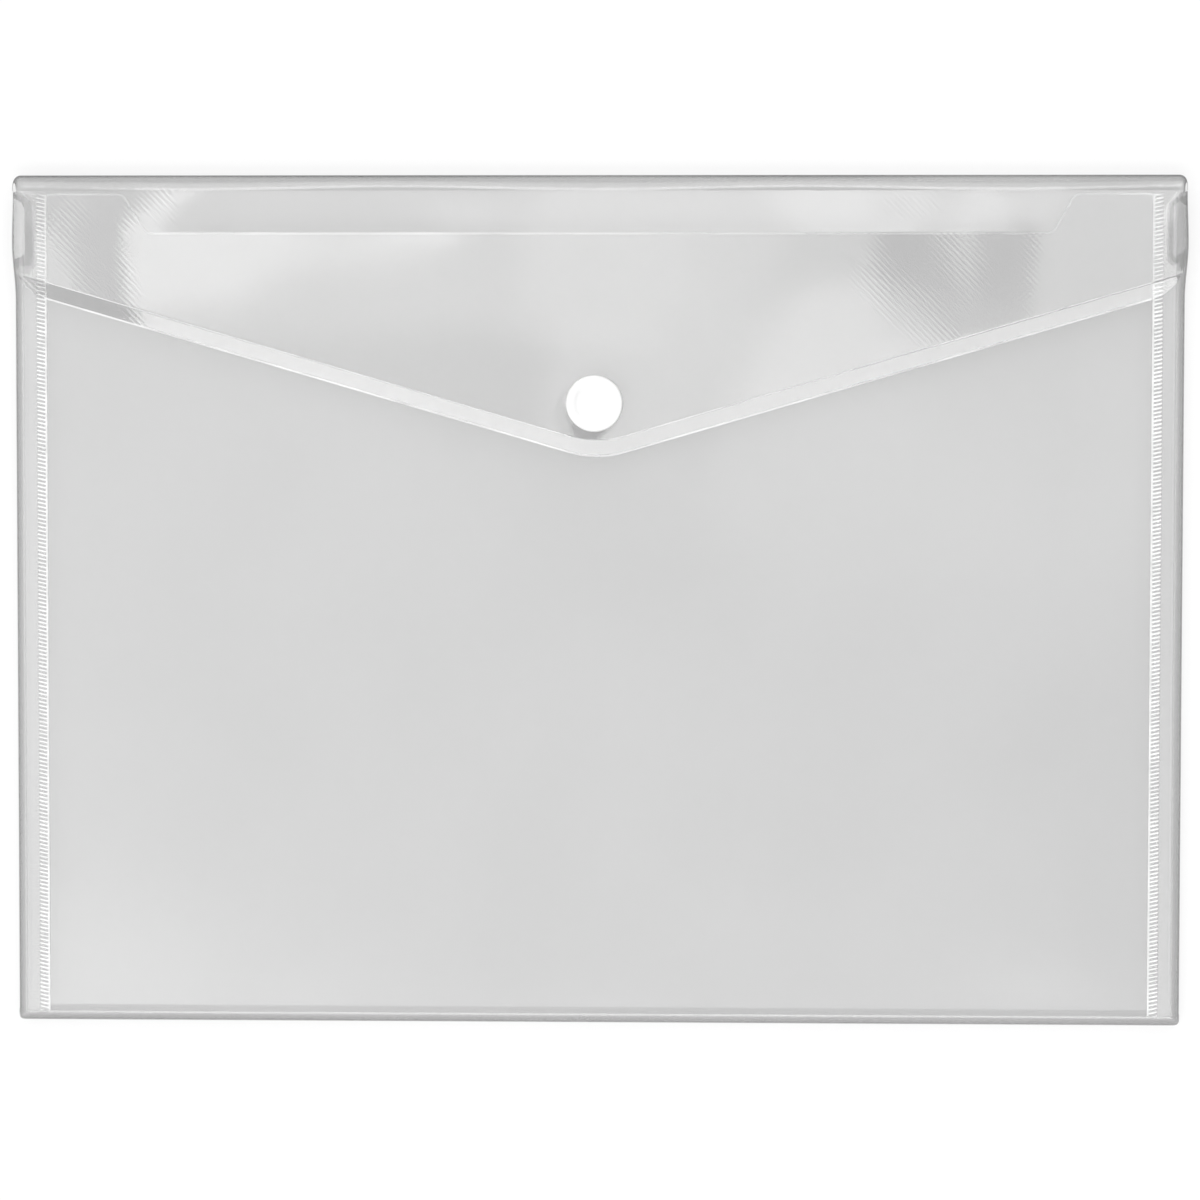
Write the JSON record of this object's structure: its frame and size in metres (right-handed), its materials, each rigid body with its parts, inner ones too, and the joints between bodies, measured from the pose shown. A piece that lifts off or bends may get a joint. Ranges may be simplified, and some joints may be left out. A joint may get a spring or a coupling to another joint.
{
  "type": "document wallet",
  "caption": "Clear plastic document wallet: a flat pocket with a thumb cut and a V-shaped flap that folds over and closes on a press stud.",
  "frame": {"origin": "below the middle of the closed wallet, on the surface that its back panel lies on", "axes": "+X along the width, +Y from the bottom fold towards the flap's fold, +Z out of the front panel"},
  "size_m": [0.33, 0.24, 0.0107],
  "materials": {
    "clear_film": "glossy clear polypropylene film with a faint fine emboss",
    "welded_film": "knurled ultrasonic weld, cloudier than the film",
    "white_stud": "smooth white moulded plastic"
  },
  "bodies": {
    "pocket": {"back_panel": "clear_film", "front_panel": "clear_film", "bottom_fold": "clear_film", "left_side_fold": "clear_film", "right_side_fold": "clear_film", "left_side_tab": "clear_film", "right_side_tab": "clear_film", "left_weld_seam": "welded_film", "right_weld_seam": "welded_film", "flap_roll": "clear_film", "front_stud": "white_stud", "front_stud_backing": "white_stud"},
    "flap": {"flap_panel": "clear_film", "flap_stud_cap": "white_stud", "flap_socket": "white_stud"}
  },
  "joints": [
    {"name": "flap_hinge", "type": "hinge", "parent": "pocket", "child": "flap", "pos_m": [0, 0.1154, 0.0046], "axis": [-1, 0, 0], "range_deg": [0, 178], "deforming": ["flap_roll"]}
  ]
}
